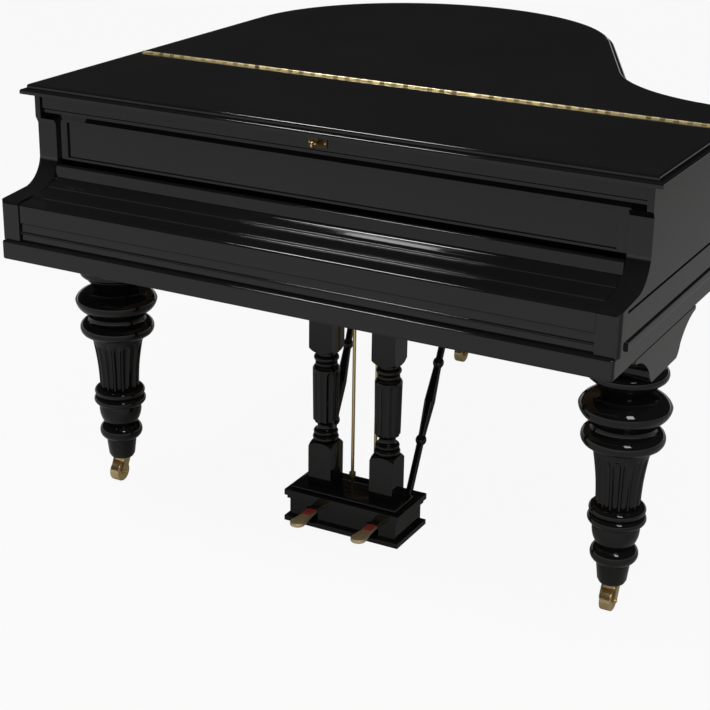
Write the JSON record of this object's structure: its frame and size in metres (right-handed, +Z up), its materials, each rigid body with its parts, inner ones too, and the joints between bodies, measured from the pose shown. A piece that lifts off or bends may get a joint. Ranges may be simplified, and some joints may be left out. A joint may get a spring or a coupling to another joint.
{
  "type": "grand piano",
  "caption": "Small black grand piano with turned fluted legs on casters, folding lid and flap, fallboard, keyboard, hammers, strings and a pedal lyre.",
  "frame": {"origin": "on the floor, under the middle of the whole box", "axes": "+X to the treble end, +Y from the keyboard to the tail, +Z up"},
  "size_m": [1.51, 1.65, 1.0326],
  "materials": {
    "lacquer": "high-gloss black polyester lacquer",
    "brass": "polished",
    "steel": "bright drawn wire",
    "plate": "bronze-gold paint",
    "ivory": "polished key tops",
    "ebony": "satin black",
    "spruce": "clear varnish",
    "beech": "plain",
    "maple": "plain",
    "felt": "pressed wool felt on wood",
    "rubber": "matt"
  },
  "bodies": {
    "case": {"back_posts": "beech", "base_moulding": "lacquer", "bridges": "maple", "caster_sockets": "brass", "desk_tray": "lacquer", "front_panel": "lacquer", "inner_rim": "beech", "iron_plate": "plate", "key_blocks": "lacquer", "key_slip": "lacquer", "keybed": "beech", "left_arm": "lacquer", "leg_left": "lacquer", "leg_rear": "lacquer", "leg_right": "lacquer", "lid_bumpers": "rubber", "lid_hinge_case_leaves": "brass", "lock_plate": "brass", "lock_rail": "lacquer", "lyre_box": "lacquer", "lyre_braces": "lacquer", "lyre_posts": "lacquer", "nameboard": "lacquer", "outer_rim": "lacquer", "pinblock": "maple", "prop_bracket": "brass", "right_arm": "lacquer", "soundboard": "spruce", "soundboard_ribs": "spruce", "strings": "steel", "tuning_pins": "steel"},
    "lid_main": {"lid_main": "lacquer", "lid_fittings": "brass", "flap_hinge_rear_leaf": "brass"},
    "lid_flap": {"lid_flap": "lacquer", "flap_hinge_front_leaf": "brass"},
    "lid_prop": {"lid_prop": "lacquer"},
    "music_desk": {"music_desk": "lacquer"},
    "fallboard": {"fallboard": "lacquer"},
    "lock_key": {"lock_key": "brass"},
    "lock_bolt": {"lock_bolt": "steel"},
    "key_frame": {"key_frame": "beech"},
    "natural_keys": {"natural_keys": "ivory"},
    "sharp_keys": {"sharp_keys": "ebony"},
    "middle_key": {"middle_key": "ivory"},
    "natural_hammers": {"natural_hammers": "felt"},
    "sharp_hammers": {"sharp_hammers": "felt"},
    "middle_hammer": {"middle_hammer": "felt"},
    "dampers": {"dampers": "lacquer"},
    "left_pedal": {"left_pedal": "brass"},
    "right_pedal": {"right_pedal": "brass"},
    "left_pedal_rod": {"left_pedal_rod": "brass"},
    "right_pedal_rod": {"right_pedal_rod": "brass"},
    "caster_fork_left": {"caster_fork_left": "brass"},
    "caster_fork_right": {"caster_fork_right": "brass"},
    "caster_fork_rear": {"caster_fork_rear": "brass"},
    "caster_wheel_left": {"caster_wheel_left": "brass"},
    "caster_wheel_right": {"caster_wheel_right": "brass"},
    "caster_wheel_rear": {"caster_wheel_rear": "brass"}
  },
  "joints": [
    {"name": "lid_open", "type": "hinge", "parent": "case", "child": "lid_main", "pos_m": [-0.7364, 0, 1.0015], "axis": [0, -1, 0], "range_deg": [0, 36]},
    {"name": "flap_fold", "type": "hinge", "parent": "lid_main", "child": "lid_flap", "pos_m": [0, -0.256, 1.03], "axis": [-1, 0, 0], "range_deg": [0, 176]},
    {"name": "prop_swing", "type": "hinge", "parent": "case", "child": "lid_prop", "pos_m": [0.25358, 0.17998, 0.972], "axis": [-0.5622, -0.3116, -0.766], "range_deg": [0, 78]},
    {"name": "desk_raise", "type": "hinge", "parent": "case", "child": "music_desk", "pos_m": [0, -0.593, 0.97], "axis": [1, 0, 0], "range_deg": [0, 68]},
    {"name": "fallboard_open", "type": "hinge", "parent": "case", "child": "fallboard", "pos_m": [0, -0.675, 0.812], "axis": [-1, 0, 0], "range_deg": [0, 98]},
    {"name": "lock_key_turn", "type": "hinge", "parent": "case", "child": "lock_key", "pos_m": [0, -0.67, 0.988], "axis": [0, 1, 0], "range_deg": [0, 90]},
    {"name": "lock_bolt_slide", "type": "slide", "parent": "case", "child": "lock_bolt", "axis": [0, 0, 1], "range_m": [0, 0.0081]},
    {"name": "action_shift", "type": "slide", "parent": "case", "child": "key_frame", "axis": [1, 0, 0], "range_m": [0, 0.0031]},
    {"name": "natural_keys_press", "type": "hinge", "parent": "key_frame", "child": "natural_keys", "pos_m": [0, -0.587, 0.722], "axis": [1, 0, 0], "range_deg": [0, 2.6], "stiffness_Nm_per_rad": 40, "springref_deg": -5.73},
    {"name": "sharp_keys_press", "type": "hinge", "parent": "key_frame", "child": "sharp_keys", "pos_m": [0, -0.587, 0.722], "axis": [1, 0, 0], "range_deg": [0, 2.6], "stiffness_Nm_per_rad": 40, "springref_deg": -5.73},
    {"name": "middle_key_press", "type": "hinge", "parent": "key_frame", "child": "middle_key", "pos_m": [0, -0.587, 0.722], "axis": [1, 0, 0], "range_deg": [0, 2.6], "stiffness_Nm_per_rad": 1, "springref_deg": -5.73},
    {"name": "natural_hammers_strike", "type": "hinge", "parent": "key_frame", "child": "natural_hammers", "pos_m": [0, -0.547, 0.843], "axis": [1, 0, 0], "range_deg": [0, 21.1]},
    {"name": "sharp_hammers_strike", "type": "hinge", "parent": "key_frame", "child": "sharp_hammers", "pos_m": [0, -0.547, 0.843], "axis": [1, 0, 0], "range_deg": [0, 21.1]},
    {"name": "middle_hammer_strike", "type": "hinge", "parent": "key_frame", "child": "middle_hammer", "pos_m": [0, -0.547, 0.843], "axis": [1, 0, 0], "range_deg": [0, 21.1]},
    {"name": "damper_lift", "type": "slide", "parent": "case", "child": "dampers", "axis": [0, 0, 1], "range_m": [0, 0.0061]},
    {"name": "left_pedal_press", "type": "hinge", "parent": "case", "child": "left_pedal", "pos_m": [-0.08, -0.509, 0.0625], "axis": [1, 0, 0], "range_deg": [0, 8], "stiffness_Nm_per_rad": 5, "springref_deg": -11.46},
    {"name": "left_rod_lift", "type": "slide", "parent": "case", "child": "left_pedal_rod", "axis": [0, 0, 1], "range_m": [0, 0.01]},
    {"name": "right_pedal_press", "type": "hinge", "parent": "case", "child": "right_pedal", "pos_m": [0.08, -0.509, 0.0625], "axis": [1, 0, 0], "range_deg": [0, 8], "stiffness_Nm_per_rad": 5, "springref_deg": -11.46},
    {"name": "right_rod_lift", "type": "slide", "parent": "case", "child": "right_pedal_rod", "axis": [0, 0, 1], "range_m": [0, 0.01]},
    {"name": "caster_swivel_left", "type": "hinge", "parent": "case", "child": "caster_fork_left", "pos_m": [-0.651, -0.507, 0.05], "axis": [0, 0, 1], "continuous": true},
    {"name": "caster_roll_left", "type": "hinge", "parent": "caster_fork_left", "child": "caster_wheel_left", "pos_m": [-0.651, -0.521, 0.025], "axis": [1, 0, 0], "continuous": true},
    {"name": "caster_swivel_right", "type": "hinge", "parent": "case", "child": "caster_fork_right", "pos_m": [0.651, -0.507, 0.05], "axis": [0, 0, 1], "continuous": true},
    {"name": "caster_roll_right", "type": "hinge", "parent": "caster_fork_right", "child": "caster_wheel_right", "pos_m": [0.651, -0.521, 0.025], "axis": [1, 0, 0], "continuous": true},
    {"name": "caster_swivel_rear", "type": "hinge", "parent": "case", "child": "caster_fork_rear", "pos_m": [-0.255, 0.67, 0.05], "axis": [0, 0, 1], "continuous": true},
    {"name": "caster_roll_rear", "type": "hinge", "parent": "caster_fork_rear", "child": "caster_wheel_rear", "pos_m": [-0.255, 0.656, 0.025], "axis": [1, 0, 0], "continuous": true}
  ],
  "couplings": [
    {"joint": "prop_swing", "follows": "lid_open", "ratio": 2.1667},
    {"joint": "desk_raise", "follows": "flap_fold", "ratio": 0.38636},
    {"joint": "lock_bolt_slide", "follows": "lock_key_turn", "m_per_rad": 0.005093},
    {"joint": "action_shift", "follows": "left_pedal_press", "m_per_rad": 0.021486},
    {"joint": "left_rod_lift", "follows": "left_pedal_press", "m_per_rad": 0.07},
    {"joint": "right_rod_lift", "follows": "right_pedal_press", "m_per_rad": 0.07},
    {"joint": "damper_lift", "follows": "right_pedal_press", "m_per_rad": 0.042972},
    {"joint": "natural_hammers_strike", "follows": "natural_keys_press", "ratio": 8.0769},
    {"joint": "sharp_hammers_strike", "follows": "sharp_keys_press", "ratio": 8.0769},
    {"joint": "middle_hammer_strike", "follows": "middle_key_press", "ratio": 8.0769}
  ]
}
